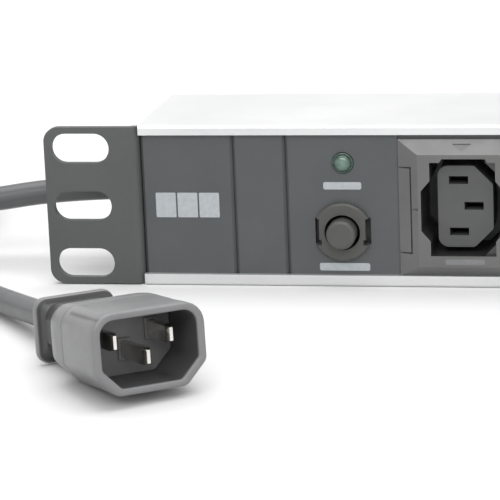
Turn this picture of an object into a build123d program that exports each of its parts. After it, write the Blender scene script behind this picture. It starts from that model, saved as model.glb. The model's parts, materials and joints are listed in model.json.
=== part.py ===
"""Rack power strip: a 19-inch, one-unit mains distribution strip with ten three-pole outlets.

Axes: +X to the right seen from the front, +Y towards the back, +Z up.
Origin: bottom centre of the strip, midway between the reset button's face and the profile's back.
"""
import math
import os

from build123d import *

# ---------------------------------------------------------------- driving dimensions, mm
OVERALL = 482.6          # 19 inches over the ears
FRONT = -20.5            # front plane of the ears and of the profile's lips
BACK = 24.5              # back of the profile

PROFILE_HEIGHT = 44.0
PROFILE_WALL = 1.8
PROFILE_CORNER = 0.8
LIP_THICK = 1.45
LIP_BOTTOM, LIP_TOP = 3.1, 2.55
RIB_THICK = 1.2
RIB_HEIGHT = 2.2
PORT_INSET = 4.2         # screw port centre above and below the outer faces
PORT_RADIUS = 2.5
PORT_HOLE = 1.25
PORT_Y = (-11.5, 20.4)

EAR_HEIGHT = 43.3
EAR_THICK = 2.0
EAR_WIDTH = 26.2         # outer edge to the profile's end
EAR_CORNER = 4.0
LEG_INSET = 1.7          # how much lower than the profile the leg's edges lie
BEND_RADIUS = 2.5
SLOT_LENGTH = 16.0
SLOT_HEIGHT = 8.1
SLOT_INSET = 10.0        # slot centre from the ear's outer edge
SLOT_PITCH = 15.875      # rack hole pitch inside one unit
SCREW_SHANK = 1.2
SCREW_HEAD = 2.2
SCREW_LENGTH = 12.0

PANEL_THICK = 2.3
PANEL_HEIGHT = 40.0
PANEL_GAP = 0.1
PANEL_CHAMFER = 0.75
PANEL_EDGES = (26.35, 51.5, 65.7, 95.95)   # from the left ear's outer edge
GROOVE_PLAY = 0.05

OUTLETS = 10
OUTLET_PITCH = 34.0
OUTLET_Z = 21.0
FRAME_HALF_WIDTH = 16.95
FRAME_LOW, FRAME_HIGH = 3.15, 40.05
PLATEAU_HALF_WIDTH = 11.7
PLATEAU_LOW, PLATEAU_HIGH = 5.8, 36.2
FRAME_EDGE_Y = -19.4
PLATEAU_Y = -21.2
LATCH_FLOOR_Y = -19.15
WELL_LEFT, WELL_RIGHT = -8.5, 8.8
WELL_LOW, WELL_HIGH = -12.2, 13.1
WELL_FLOOR_Y = -4.5
SHROUD_X = 13.0
SHROUD_LOW, SHROUD_HIGH = 7.0, 36.0
SHROUD_END_Y = -1.5
CORE_END_Y = 3.0
TONGUE_LEFT, TONGUE_RIGHT = -6.85, 7.8
TONGUE_LOW, TONGUE_HIGH = -10.7, 11.4
TONGUE_FACE_Y = -16.8
CONTACT_X = -1.3         # line and neutral slots, from the outlet's middle
EARTH_X = 2.7
CONTACT_Z = 7.0
CONTACT_MID_Z = 21.5
SLOT_X, SLOT_Z = 5.1, 2.1
CHAMBER_X, CHAMBER_Z = 5.4, 4.6
CHAMBER_FRONT_Y = -12.2

BUSBAR_THICK = 0.8
BUSBAR_HEIGHT = 5.2
BUSBAR_Y = 5.2
TRAY_FACE_Y = 6.0
TRAY_THICK = 2.0

LED_X, LED_Z = 81.2, 33.6
LED_RADIUS = 2.85
BREAKER_X, BREAKER_Z = 80.8, 15.0
COLLAR_RADIUS = 7.9
COLLAR_PROUD = 1.85
NECK_RADIUS = 6.7
NECK_INSIDE = 2.6        # how far the neck reaches behind the panel
NOTCH_LOW, NOTCH_HIGH = -3.5, 3.7
NOTCH_INNER, NOTCH_OUTER = 6.2, 7.5     # the notch in the panel; the collar's is open outwards
NOTCH_FOOT, NOTCH_FOOT_HIGH = 5.6, 1.5
BUTTON_RADIUS = 3.95
BUTTON_BORE = 4.8
BUTTON_FACE_Y = -24.5
BUTTON_BACK_Y = -14.9
STEM_RADIUS = 2.0
STEM_END_Y = -1.0
HOUSING_HALF_WIDTH = 7.5
HOUSING_LOW, HOUSING_HIGH = 7.2, 27.2
HOUSING_WALL = 1.2
HOUSING_END_Y = 9.8
SHELF_Y = -8.0
PIVOT_Y, PIVOT_Z = 5.5, 11.2
PIVOT_RADIUS = 0.8
ARM_HALF_WIDTH = 2.5
ARM_THICK = 0.8
CONTACT_HEIGHT = 23.0
TAB_HALF_WIDTH = 3.15
TAB_END_Y = 20.0

CORD_RADIUS = 3.4
CORD_Y, CORD_Z = 3.5, 22.0
GLAND_FLANGE = 8.0
GLAND_NECK = 6.0
GLAND_TIP = 4.5
GLAND_OUT = 11.2         # how far the gland stands out of the bracket
WIRE_RADIUS = 1.3

COIL_X, COIL_Y = -329.3, 37.5
COIL_RADIUS = 40.0       # mean radius of the turns
COIL_HALF_SECTION = 10.2
COIL_HEIGHT = 21.3
TIE_THICK = 0.9
TIE_WIDTH = 7.0

PLUG_PLACE = (-189.82, -123.85, 12.80)    # middle of the open face
PLUG_YAW, PLUG_PITCH, PLUG_ROLL = 38.1, -5.67, 1.2
PLUG_X, PLUG_Z = 14.15, 9.65
CAVITY_X, CAVITY_Z = 12.35, 8.35
PLUG_CORNER = 5.0
PLUG_CHAMFER = 5.4
PLUG_LOWER_ROUND = 2.6
PLUG_SHROUD = 19.0
PLUG_CAVITY = 15.5
PLUG_SHOULDER = 29.0
PLUG_NECK_X, PLUG_NECK_Z = 8.6, 6.9
FLANGE_START, FLANGE_END = 42.7, 45.0
FLANGE_X, FLANGE_TOP, FLANGE_BOTTOM = 10.6, 8.0, -8.2
RELIEF_RADIUS = 4.5
RELIEF_LENGTH = 5.0

# ---------------------------------------------------------------- values worked out
LEFT = -OVERALL / 2
PROFILE_HALF = OVERALL / 2 - EAR_WIDTH
MID_Z = PROFILE_HEIGHT / 2
EAR_LOW = MID_Z - EAR_HEIGHT / 2
EAR_TOP = MID_Z + EAR_HEIGHT / 2
PANEL_FACE = FRONT + LIP_THICK
PANEL_BACK = PANEL_FACE + PANEL_THICK
RIB_Y = PANEL_BACK + 2 * GROOVE_PLAY
LEG_OUT = LEFT + EAR_WIDTH - EAR_THICK
LEG_IN = LEFT + EAR_WIDTH
LED_X = LEFT + LED_X
BREAKER_X = LEFT + BREAKER_X
OUTLET_X = [LEFT + PANEL_EDGES[-1] + OUTLET_PITCH * (i + 0.5) for i in range(OUTLETS)]
OUTLETS_END = PANEL_EDGES[-1] + OUTLETS * OUTLET_PITCH
BUSBAR_LEFT = OUTLET_X[0] - OUTLET_PITCH / 2 + 1.0
CORD_START_X = LEFT + 33.0
GLAND_TIP_X = LEG_OUT - GLAND_OUT
BOND_X, BOND_Z = LEFT + 66.0, 12.0


# ---------------------------------------------------------------- helpers
def block(x0, x1, y0, y1, z0, z1):
    """Box between two corners."""
    place = Pos((x0 + x1) / 2, (y0 + y1) / 2, (z0 + z1) / 2)
    return place * Box(x1 - x0, y1 - y0, z1 - z0)


def rod_y(x, z, radius, y0, y1):
    """Cylinder along Y."""
    return Pos(x, (y0 + y1) / 2, z) * Rot(90, 0, 0) * Cylinder(radius, y1 - y0)


def rod_x(y, z, radius, x0, x1):
    """Cylinder along X."""
    return Pos((x0 + x1) / 2, y, z) * Rot(0, 90, 0) * Cylinder(radius, x1 - x0)


def outline(points):
    """Closed face in a plane seen from the front: points are (x, z)."""
    return make_face(Polyline(*points, close=True))


def along_y(face, y0, y1):
    """A front-view face extruded from y0 back to y1."""
    return extrude(Plane.XZ.offset(-y1) * face, y1 - y0)


def slot_hole(x, z, y0, y1):
    """Round-ended hole, long in X."""
    face = Pos(x, z) * SlotOverall(SLOT_LENGTH, SLOT_HEIGHT)
    return along_y(face, y0, y1)


def tube_along(points, radius, radii):
    """Round bar along straight runs joined by tangent arcs."""
    path = FilletPolyline(*points, radius=radii)
    start = Plane(path @ 0, z_dir=path % 0)
    bar = sweep(start * Circle(radius), path=path)
    return bar, path.length


def arc_radii(points):
    """For each corner, the arc that leaves a tenth of its shorter run straight."""
    radii = []
    for before, corner, after in zip(points, points[1:], points[2:]):
        a = Vector(*corner) - Vector(*before)
        b = Vector(*after) - Vector(*corner)
        half_turn = math.radians(a.get_angle(b)) / 2
        radii.append(0.45 * min(a.length, b.length) / math.tan(half_turn))
    return radii


def bar_through(points, radius):
    """Bar along a route, with the largest arcs that its runs allow."""
    return tube_along(points, radius, arc_radii(points))[0]


# ---------------------------------------------------------------- aluminium profile
def make_profile():
    """C-shaped extrusion, open at the front, with lips, panel grooves and four screw ports."""
    mid_y = (FRONT + BACK) / 2
    outer = Pos(mid_y, MID_Z) * RectangleRounded(BACK - FRONT, PROFILE_HEIGHT, PROFILE_CORNER)
    cavity_depth = BACK - PROFILE_WALL - PANEL_FACE
    cavity = Pos(PANEL_FACE + cavity_depth / 2, MID_Z) * Rectangle(
        cavity_depth, PROFILE_HEIGHT - 2 * PROFILE_WALL
    )
    mouth_height = PROFILE_HEIGHT - LIP_BOTTOM - LIP_TOP
    mouth = Pos(FRONT, LIP_BOTTOM + mouth_height / 2) * Rectangle(4 * LIP_THICK, mouth_height)
    section = outer - cavity - mouth
    for side in (-1, 1):
        rib_z = MID_Z + side * (MID_Z - PROFILE_WALL - RIB_HEIGHT / 2)
        section += Pos(RIB_Y + RIB_THICK / 2, rib_z) * Rectangle(RIB_THICK, RIB_HEIGHT)
        port_z = MID_Z + side * (MID_Z - PORT_INSET)
        for y in PORT_Y:
            section += Pos(y, port_z) * Circle(PORT_RADIUS)
            section -= Pos(y, port_z) * Circle(PORT_HOLE)
            section -= Pos(y, port_z - side * PORT_RADIUS / 2) * Rectangle(1.0, PORT_RADIUS)
    bar = extrude(Plane.YZ.offset(-PROFILE_HALF) * section, 2 * PROFILE_HALF)
    return bar - rod_y(BOND_X, BOND_Z, 2.0, BACK - 2 * PROFILE_WALL, BACK + 1)


# ---------------------------------------------------------------- rack ears
def port_places():
    """(y, z) of the four screw ports."""
    return [(y, z) for y in PORT_Y for z in (PORT_INSET, PROFILE_HEIGHT - PORT_INSET)]


def make_bracket(with_cord_hole):
    """Left ear: an L of 2 mm steel, its leg closing the profile's end."""
    plate = block(LEFT, LEG_IN, FRONT, FRONT + EAR_THICK, EAR_LOW, EAR_TOP)
    leg = block(LEG_OUT, LEG_IN, FRONT, BACK, EAR_LOW, EAR_TOP)
    bracket = plate + leg
    upright = bracket.edges().filter_by(Axis.Z)
    outside = upright.sort_by_distance((LEG_IN, FRONT, MID_Z))[0]
    bracket = fillet(outside, BEND_RADIUS)
    inside = bracket.edges().filter_by(Axis.Z).sort_by_distance((LEG_OUT, FRONT + EAR_THICK, MID_Z))[0]
    bracket = fillet(inside, 0.6)
    corners = bracket.edges().filter_by(Axis.Y).sort_by(Axis.X)[:2]
    bracket = fillet(corners, EAR_CORNER)
    for low, high in ((-1, LEG_INSET), (PROFILE_HEIGHT - LEG_INSET, PROFILE_HEIGHT + 1)):
        bracket -= block(LEG_OUT - 1, LEG_IN + 1, FRONT + EAR_THICK + 0.6, BACK + 1, low, high)
    for step in (-1, 0, 1):
        z = MID_Z + step * SLOT_PITCH
        bracket -= slot_hole(LEFT + SLOT_INSET, z, FRONT - 1, FRONT + EAR_THICK + 1)
    for y, z in port_places():
        bracket -= rod_x(y, z, SCREW_SHANK + 0.3, LEG_OUT - 1, LEG_IN + 1)
        bracket -= countersink(y, z)
    if with_cord_hole:
        bracket -= rod_x(CORD_Y, CORD_Z, GLAND_NECK + 0.1, LEG_OUT - 1, LEG_IN + 1)
    return bracket


def countersink(y, z):
    """Cone of a countersunk head, its wide end flush with the leg's outer face."""
    depth = SCREW_HEAD - SCREW_SHANK
    cone = Cone(SCREW_HEAD, SCREW_SHANK, depth)
    return Pos(LEG_OUT + depth / 2, y, z) * Rot(0, 90, 0) * cone


def make_bracket_screws():
    """Four countersunk self-tapping screws with cross recesses, as separate solids."""
    screws = []
    for y, z in port_places():
        screw = countersink(y, z) + rod_x(y, z, SCREW_SHANK, LEG_OUT + 0.5, LEG_OUT + SCREW_LENGTH)
        for wide, tall in ((2.0, 0.5), (0.5, 2.0)):
            screw -= block(LEG_OUT - 1, LEG_OUT + 0.8, y - wide / 2, y + wide / 2, z - tall / 2, z + tall / 2)
        screws.append(screw)
    return Compound(screws)


# ---------------------------------------------------------------- front panels
def make_panel(left, right, chamfered=2):
    """Blank plate in the profile's groove, from one edge to the next, its first sides chamfered."""
    plate = block(
        LEFT + left + PANEL_GAP / 2,
        LEFT + right - PANEL_GAP / 2,
        PANEL_FACE + GROOVE_PLAY,
        PANEL_BACK + GROOVE_PLAY,
        MID_Z - PANEL_HEIGHT / 2,
        MID_Z + PANEL_HEIGHT / 2,
    )
    front_edges = plate.faces().sort_by(Axis.Y)[0].edges().filter_by(Axis.Z).sort_by(Axis.X)
    return chamfer(front_edges[:chamfered], PANEL_CHAMFER)


def make_control_panel():
    """Panel with the holes of the lamp and of the breaker."""
    plate = make_panel(PANEL_EDGES[2], PANEL_EDGES[3], 1)
    plate -= rod_y(LED_X, LED_Z, LED_RADIUS + 0.1, FRONT, PANEL_BACK + 1)
    plate -= rod_y(BREAKER_X, BREAKER_Z, NECK_RADIUS + 0.1, FRONT, PANEL_BACK + 1)
    return plate - collar_notches(NOTCH_OUTER)


# ---------------------------------------------------------------- lamp
PANEL_REAR = PANEL_BACK + GROOVE_PLAY
LED_BASE_Y = PANEL_REAR + 4.8
BOARD_Y = PANEL_REAR + 11.0
BOARD_THICK = 1.6


def make_led_lens():
    """Domed lamp with a flange behind the panel."""
    body = rod_y(LED_X, LED_Z, LED_RADIUS, PANEL_FACE, PANEL_REAR + 1)
    dome_sphere = Pos(LED_X, PANEL_FACE + 1.2, LED_Z) * Sphere(3.1)
    dome = dome_sphere & rod_y(LED_X, LED_Z, LED_RADIUS, FRONT - 4, PANEL_FACE)
    flange = rod_y(LED_X, LED_Z, 3.6, PANEL_REAR, PANEL_REAR + 1.1)
    return body + dome + flange + rod_y(LED_X, LED_Z, 2.5, PANEL_REAR, LED_BASE_Y)


def make_led_leads():
    """Two square leads from the lamp through the board."""
    leads = []
    for side in (-1, 1):
        x = LED_X + side * 1.27
        tail = BOARD_Y + BOARD_THICK + 1.2
        leads.append(block(x - 0.25, x + 0.25, LED_BASE_Y, tail, LED_Z - 0.25, LED_Z + 0.25))
    return Compound(leads)


def make_led_board():
    """Small circuit board behind the lamp."""
    board = block(LED_X - 7, LED_X + 6, BOARD_Y, BOARD_Y + BOARD_THICK, LED_Z - 4.8, LED_Z + 4.2)
    for side in (-1, 1):
        board -= rod_y(LED_X + side * 1.27, LED_Z, 0.45, BOARD_Y - 1, BOARD_Y + BOARD_THICK + 1)
    return board


def make_led_resistor():
    """Dropper resistor lying on the board's back."""
    y = BOARD_Y + BOARD_THICK + 1.1
    z = LED_Z - 3.0
    body = rod_x(y, z, 1.1, LED_X - 5, LED_X + 1.5)
    leads = rod_x(y, z, 0.3, LED_X - 6.6, LED_X + 3.1)
    return body + leads


# ---------------------------------------------------------------- thermal breaker
def make_breaker_collar():
    """Round bezel and threaded neck, bored for the button, with two latch notches."""
    top = PANEL_FACE - COLLAR_PROUD
    disc = rod_y(BREAKER_X, BREAKER_Z, COLLAR_RADIUS, top, PANEL_FACE + GROOVE_PLAY)
    rim = disc.edges().filter_by(GeomType.CIRCLE).sort_by(Axis.Y)[0]
    collar = chamfer(rim, 0.45)
    collar += rod_y(BREAKER_X, BREAKER_Z, NECK_RADIUS, PANEL_FACE, PANEL_REAR + NECK_INSIDE)
    collar -= rod_y(BREAKER_X, BREAKER_Z, BUTTON_BORE, FRONT - 8, PANEL_REAR + 4)
    return collar - collar_notches(COLLAR_RADIUS + 0.5)


def collar_notches(reach):
    """Latch openings left and right of the button as far out as reach, each with a foot inwards."""
    notches = []
    low = BREAKER_Z + NOTCH_LOW
    for side in (-1, 1):
        outer = BREAKER_X + side * reach
        for inset, high in ((NOTCH_INNER, BREAKER_Z + NOTCH_HIGH), (NOTCH_FOOT, low + NOTCH_FOOT_HIGH)):
            inner = BREAKER_X + side * inset
            notches.append(block(min(outer, inner), max(outer, inner), FRONT - 5, PANEL_REAR, low, high))
    return Compound(notches)


def make_breaker_housing():
    """Moulded case, open at the back, with a shelf that the button's spring rests on."""
    x0, x1 = BREAKER_X - HOUSING_HALF_WIDTH, BREAKER_X + HOUSING_HALF_WIDTH
    case = block(x0, x1, PANEL_REAR, HOUSING_END_Y, HOUSING_LOW, HOUSING_HIGH)
    inside = block(
        x0 + HOUSING_WALL, x1 - HOUSING_WALL, PANEL_REAR + HOUSING_WALL, HOUSING_END_Y + 1,
        HOUSING_LOW + HOUSING_WALL, HOUSING_HIGH - HOUSING_WALL,
    )
    shelf = block(x0, x1, SHELF_Y, SHELF_Y + HOUSING_WALL, HOUSING_LOW, HOUSING_HIGH)
    case = case - inside + shelf
    case -= rod_y(BREAKER_X, BREAKER_Z, NECK_RADIUS + 0.1, PANEL_REAR - 1, PANEL_REAR + NECK_INSIDE + 0.2)
    return case - rod_y(BREAKER_X, BREAKER_Z, STEM_RADIUS + 0.3, SHELF_Y - 1, SHELF_Y + 3)


def make_breaker_back_cover():
    """Lid of the breaker's case with a slot for each tab."""
    lid = block(
        BREAKER_X - HOUSING_HALF_WIDTH, BREAKER_X + HOUSING_HALF_WIDTH,
        HOUSING_END_Y, HOUSING_END_Y + HOUSING_WALL, HOUSING_LOW, HOUSING_HIGH,
    )
    for z in (UPPER_TAB_Z, LOWER_TAB_Z):
        lid -= block(
            BREAKER_X - TAB_HALF_WIDTH - 0.1, BREAKER_X + TAB_HALF_WIDTH + 0.1,
            HOUSING_END_Y - 1, HOUSING_END_Y + 3, z - ARM_THICK / 2 - 0.05, z + ARM_THICK / 2 + 0.05,
        )
    return lid


UPPER_TAB_Z = HOUSING_HIGH - HOUSING_WALL - ARM_THICK / 2 - 0.05
LOWER_TAB_Z = HOUSING_LOW + HOUSING_WALL + ARM_THICK / 2 + 0.05
ARM_FRONT_Y = PIVOT_Y - ARM_THICK / 2
CONTACT_FACE_Y = ARM_FRONT_Y - 1.0


def tab(z, y0):
    """Flat 6.3 mm tab from y0 out of the case's back."""
    return block(
        BREAKER_X - TAB_HALF_WIDTH, BREAKER_X + TAB_HALF_WIDTH, y0, TAB_END_Y,
        z - ARM_THICK / 2, z + ARM_THICK / 2,
    )


def make_breaker_fixed_contact():
    """Upper tab, bent down in front of the arm, with a contact rivet."""
    plate_back = CONTACT_FACE_Y - 1.1
    plate = block(
        BREAKER_X - ARM_HALF_WIDTH, BREAKER_X + ARM_HALF_WIDTH,
        plate_back - ARM_THICK, plate_back, CONTACT_HEIGHT - 2, UPPER_TAB_Z,
    )
    rivet = rod_y(BREAKER_X, CONTACT_HEIGHT, 1.5, plate_back - 0.2, CONTACT_FACE_Y - 0.05)
    return tab(UPPER_TAB_Z, plate_back - ARM_THICK) + plate + rivet


def make_breaker_arm_terminal():
    """Lower tab with two ears that hold the arm's pivot pin."""
    terminal = tab(LOWER_TAB_Z, PIVOT_Y - 3)
    for side in (-1, 1):
        x = BREAKER_X + side * (ARM_HALF_WIDTH + 0.55)
        terminal += block(x - 0.4, x + 0.4, PIVOT_Y - 2, PIVOT_Y + 2, LOWER_TAB_Z, PIVOT_Z + 2)
    return terminal - rod_x(PIVOT_Y, PIVOT_Z, PIVOT_RADIUS, BREAKER_X - 6, BREAKER_X + 6)


def make_contact_arm():
    """Sprung arm with its barrel, leaf and moving contact."""
    x0, x1 = BREAKER_X - ARM_HALF_WIDTH, BREAKER_X + ARM_HALF_WIDTH
    barrel = rod_x(PIVOT_Y, PIVOT_Z, 1.55, x0, x1)
    leaf = block(x0, x1, ARM_FRONT_Y, ARM_FRONT_Y + ARM_THICK, PIVOT_Z, CONTACT_HEIGHT + 1.6)
    contact = rod_y(BREAKER_X, CONTACT_HEIGHT, 1.5, CONTACT_FACE_Y, ARM_FRONT_Y + 0.2)
    return barrel + leaf + contact - rod_x(PIVOT_Y, PIVOT_Z, PIVOT_RADIUS + 0.05, x0 - 1, x1 + 1)


def make_reset_button():
    """Flat-faced button with its stem."""
    cap = rod_y(BREAKER_X, BREAKER_Z, BUTTON_RADIUS, BUTTON_FACE_Y, BUTTON_BACK_Y)
    rim = cap.edges().filter_by(GeomType.CIRCLE).sort_by(Axis.Y)[0]
    cap = fillet(rim, 0.9)
    stem = rod_y(BREAKER_X, BREAKER_Z, STEM_RADIUS, BUTTON_BACK_Y - 1, STEM_END_Y)
    groove = rod_y(BREAKER_X, BREAKER_Z, STEM_RADIUS + 1, STEM_END_Y - 2.4, STEM_END_Y - 1.4)
    groove -= rod_y(BREAKER_X, BREAKER_Z, STEM_RADIUS - 0.6, STEM_END_Y - 3, STEM_END_Y)
    return cap + stem - groove


def make_button_spring():
    """Compression spring round the stem, between the button and the shelf."""
    wire = 0.35
    length = SHELF_Y - BUTTON_BACK_Y - 2 * wire - 0.1
    path = Helix(pitch=length / 4.5, height=length, radius=STEM_RADIUS + 0.9)
    start = Plane(path @ 0, z_dir=path % 0)
    coil = sweep(start * Circle(wire), path=path)
    place = Pos(BREAKER_X, BUTTON_BACK_Y + wire + 0.05, BREAKER_Z)
    return place * Rot(-90, 0, 0) * coil


# ---------------------------------------------------------------- outlets
def well_points():
    """Recess seen from the front: a rectangle with bulges left, right and on top."""
    side_high, side_flat, side_out = 8.2, 5.4, 10.9
    top_left, top_right, top_rise, slope = -5.9, 6.8, 1.0, 0.7
    return [
        (WELL_LEFT, WELL_LOW), (WELL_RIGHT, WELL_LOW),
        (WELL_RIGHT, -side_high), (side_out, -side_flat), (side_out, side_flat), (WELL_RIGHT, side_high),
        (WELL_RIGHT, WELL_HIGH), (top_right, WELL_HIGH), (top_right - slope, WELL_HIGH + top_rise),
        (top_left + slope, WELL_HIGH + top_rise), (top_left, WELL_HIGH), (WELL_LEFT, WELL_HIGH),
        (WELL_LEFT, side_high), (-side_out, side_flat), (-side_out, -side_flat), (WELL_LEFT, -side_high),
    ]


def rectangle_xz(x, low, high):
    """Front-view rectangle, symmetric in x."""
    return Pos(0, (low + high) / 2) * Rectangle(2 * x, high - low)


def make_outlet_frame():
    """Bezel with bevelled border, latches and the shroud round the recess, centred on x = 0."""
    tab_low, tab_high = MID_Z - PANEL_HEIGHT / 2, MID_Z + PANEL_HEIGHT / 2
    frame = block(-FRAME_HALF_WIDTH, FRAME_HALF_WIDTH, -18.6, PANEL_REAR, tab_low, tab_high)
    frame += block(-FRAME_HALF_WIDTH, FRAME_HALF_WIDTH, FRAME_EDGE_Y, -18.6, FRAME_LOW, FRAME_HIGH)
    border = Plane.XZ.offset(-FRAME_EDGE_Y) * rectangle_xz(FRAME_HALF_WIDTH, FRAME_LOW, FRAME_HIGH)
    plateau = Plane.XZ.offset(-PLATEAU_Y) * rectangle_xz(PLATEAU_HALF_WIDTH, PLATEAU_LOW, PLATEAU_HIGH)
    frame += loft([border.faces()[0], plateau.faces()[0]])
    frame += block(-SHROUD_X, SHROUD_X, PANEL_REAR, SHROUD_END_Y, SHROUD_LOW, SHROUD_HIGH)
    well = Pos(0, OUTLET_Z) * outline(well_points())
    frame -= along_y(well, PLATEAU_Y - 2, SHROUD_END_Y + 1)
    for side, edge in ((-1, WELL_LOW), (1, WELL_HIGH)):
        z = OUTLET_Z + edge
        beyond = WELL_RIGHT + 0.5
        inside = z - side * 3
        corner = outline([(beyond, z), (WELL_RIGHT - 3, z), (WELL_RIGHT, inside), (beyond, inside)])
        frame += along_y(corner, PLATEAU_Y + 1.6, SHROUD_END_Y)
    for side in (-1, 1):
        frame -= latch_lines(side)
    return frame - arrow_mark()


def latch_lines(side):
    """Gaps round the spring latch in one side bevel, and its short middle notch."""
    low, high, inner, line = 9.6, 32.4, 13.8, 0.4

    def cut(xa, xb, floor, z0, z1):
        x0, x1 = sorted((side * xa, side * xb))
        return block(x0, x1, PLATEAU_Y - 1, floor, z0, z1)

    edge = FRAME_HALF_WIDTH + 1
    lines = cut(inner - line, inner, LATCH_FLOOR_Y, low - line, high + line)
    lines += cut(inner - line, edge, LATCH_FLOOR_Y, high, high + line)
    lines += cut(inner - line, edge, LATCH_FLOOR_Y, low - line, low)
    return lines + cut(PLATEAU_HALF_WIDTH, inner, -20.4, OUTLET_Z + 0.2, OUTLET_Z + 0.8)


def arrow_mark():
    """Shallow triangle sunk in the top bevel."""
    rise = PLATEAU_Y - FRAME_EDGE_Y
    run = PLATEAU_HIGH - FRAME_HIGH
    normal = Vector(0, run, -rise).normalized()
    middle = Vector(0, (PLATEAU_Y + FRAME_EDGE_Y) / 2, (PLATEAU_HIGH + FRAME_HIGH) / 2)
    bevel = Plane(middle - normal * 0.45, x_dir=(1, 0, 0), z_dir=normal)
    triangle = bevel * make_face(Polyline((-2.5, 0.9), (2.5, 0.9), (0, -1.2), close=True))
    return extrude(triangle, 1.5)


def make_outlet_core():
    """Carrier that closes the shroud and the contact block that stands in it, as two solids."""
    left, right, low, high = WELL_LEFT + 0.2, WELL_RIGHT - 0.2, WELL_LOW + 0.2, WELL_HIGH - 0.2
    plug = outline([
        (left, low), (right - 3, low), (right, low + 3), (right, high - 3), (right - 3, high), (left, high),
    ])
    carrier = along_y(Pos(0, OUTLET_Z) * plug, WELL_FLOOR_Y, SHROUD_END_Y)
    carrier += block(-SHROUD_X, SHROUD_X, SHROUD_END_Y, CORE_END_Y, SHROUD_LOW, SHROUD_HIGH)
    tongue = outline([
        (TONGUE_LEFT, TONGUE_LOW), (TONGUE_RIGHT - 5, TONGUE_LOW), (TONGUE_RIGHT, TONGUE_LOW + 5),
        (TONGUE_RIGHT, TONGUE_HIGH - 5), (TONGUE_RIGHT - 5, TONGUE_HIGH), (TONGUE_LEFT, TONGUE_HIGH),
    ])
    corners = tongue.vertices().sort_by(Axis.X)
    tongue = fillet(corners[:2], 2.8)
    chamfered = [v for v in tongue.vertices() if v.X > TONGUE_RIGHT - 6]
    tongue = Pos(0, OUTLET_Z) * fillet(chamfered, 1.2)
    contact_block = along_y(tongue, TONGUE_FACE_Y, CORE_END_Y - 1)
    carrier -= along_y(tongue, WELL_FLOOR_Y - 1, CORE_END_Y - 1)
    for x, dz in ((CONTACT_X, CONTACT_Z), (CONTACT_X, -CONTACT_Z), (EARTH_X, 0)):
        z = CONTACT_MID_Z + dz
        contact_block -= block(
            x - SLOT_X / 2, x + SLOT_X / 2, TONGUE_FACE_Y - 1, CHAMBER_FRONT_Y + 1,
            z - SLOT_Z / 2, z + SLOT_Z / 2,
        )
        chamber = block(
            x - CHAMBER_X / 2, x + CHAMBER_X / 2, CHAMBER_FRONT_Y, CORE_END_Y + 1,
            z - CHAMBER_Z / 2, z + CHAMBER_Z / 2,
        )
        contact_block -= chamber
        carrier -= chamber
    return Compound([contact_block, carrier])


# ---------------------------------------------------------------- busbars and their tray
def make_busbar(z, x_shift):
    """Strip along all the outlets with a pair of contact leaves at each."""
    end = OUTLET_X[-1] + 8
    half = BUSBAR_HEIGHT / 2
    front = CHAMBER_FRONT_Y + 4.5
    bar = block(BUSBAR_LEFT, end, BUSBAR_Y, BUSBAR_Y + BUSBAR_THICK, z - half, z + half)
    for x in OUTLET_X:
        for side in (-1, 1):
            leaf = z + side * 1.4
            middle = x + x_shift
            bar += block(middle - 2.1, middle + 2.1, front, BUSBAR_Y + 0.1, leaf - 0.25, leaf + 0.25)
    return bar


def make_busbar_tray():
    """Insulating back plate with ribs between the busbars and bosses to the profile."""
    x0 = OUTLET_X[0] - OUTLET_PITCH / 2 + 2
    x1 = OUTLET_X[-1] + OUTLET_PITCH / 2 - 2
    tray = block(x0, x1, TRAY_FACE_Y, TRAY_FACE_Y + TRAY_THICK, SHROUD_LOW, SHROUD_HIGH)
    for z in (SHROUD_LOW + 0.7, CONTACT_MID_Z - 3.5, CONTACT_MID_Z + 3.5, SHROUD_HIGH - 0.7):
        tray += block(x0, x1, CORE_END_Y, TRAY_FACE_Y, z - 0.6, z + 0.6)
    for x in OUTLET_X[1::4]:
        tray += rod_y(x, OUTLET_Z, 4.0, TRAY_FACE_Y + 1, BACK - PROFILE_WALL)
    return tray


# ---------------------------------------------------------------- earth bond and wiring
BOND_FACE_Y = BACK - PROFILE_WALL
RING_THICK = 0.8
BARREL_Y = BOND_FACE_Y - 1.9
BARREL_IN, BARREL_OUT = 5.0, 10.0
WIRE_END_Y = BUSBAR_Y + BUSBAR_THICK / 2


def make_earth_ring_terminal():
    """Ring under the bond screw with a crimp barrel on each side."""
    ring = rod_y(BOND_X, BOND_Z, 4.0, BOND_FACE_Y - RING_THICK, BOND_FACE_Y)
    ring -= rod_y(BOND_X, BOND_Z, 2.05, BOND_FACE_Y - 2, BOND_FACE_Y + 1)
    for side in (-1, 1):
        a, b, c = (BOND_X + side * d for d in (3.0, BARREL_IN, BARREL_OUT))
        ring += block(min(a, c), max(a, c), BOND_FACE_Y - RING_THICK, BOND_FACE_Y, BOND_Z - 1.2, BOND_Z + 1.2)
        ring += rod_x(BARREL_Y, BOND_Z, 1.8, min(b, c), max(b, c))
    return ring


def make_earth_bond_screw():
    """Pan-head screw through the ring into the profile's back wall."""
    seat = BOND_FACE_Y - RING_THICK
    head = rod_y(BOND_X, BOND_Z, 3.6, seat - 2.6, seat)
    head = fillet(head.edges().filter_by(GeomType.CIRCLE).sort_by(Axis.Y)[0], 1.0)
    head -= block(BOND_X - 4, BOND_X + 4, BOND_FACE_Y - 5, seat - 1.4, BOND_Z - 0.5, BOND_Z + 0.5)
    return head + rod_y(BOND_X, BOND_Z, 1.95, seat - 0.5, BACK)


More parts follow.
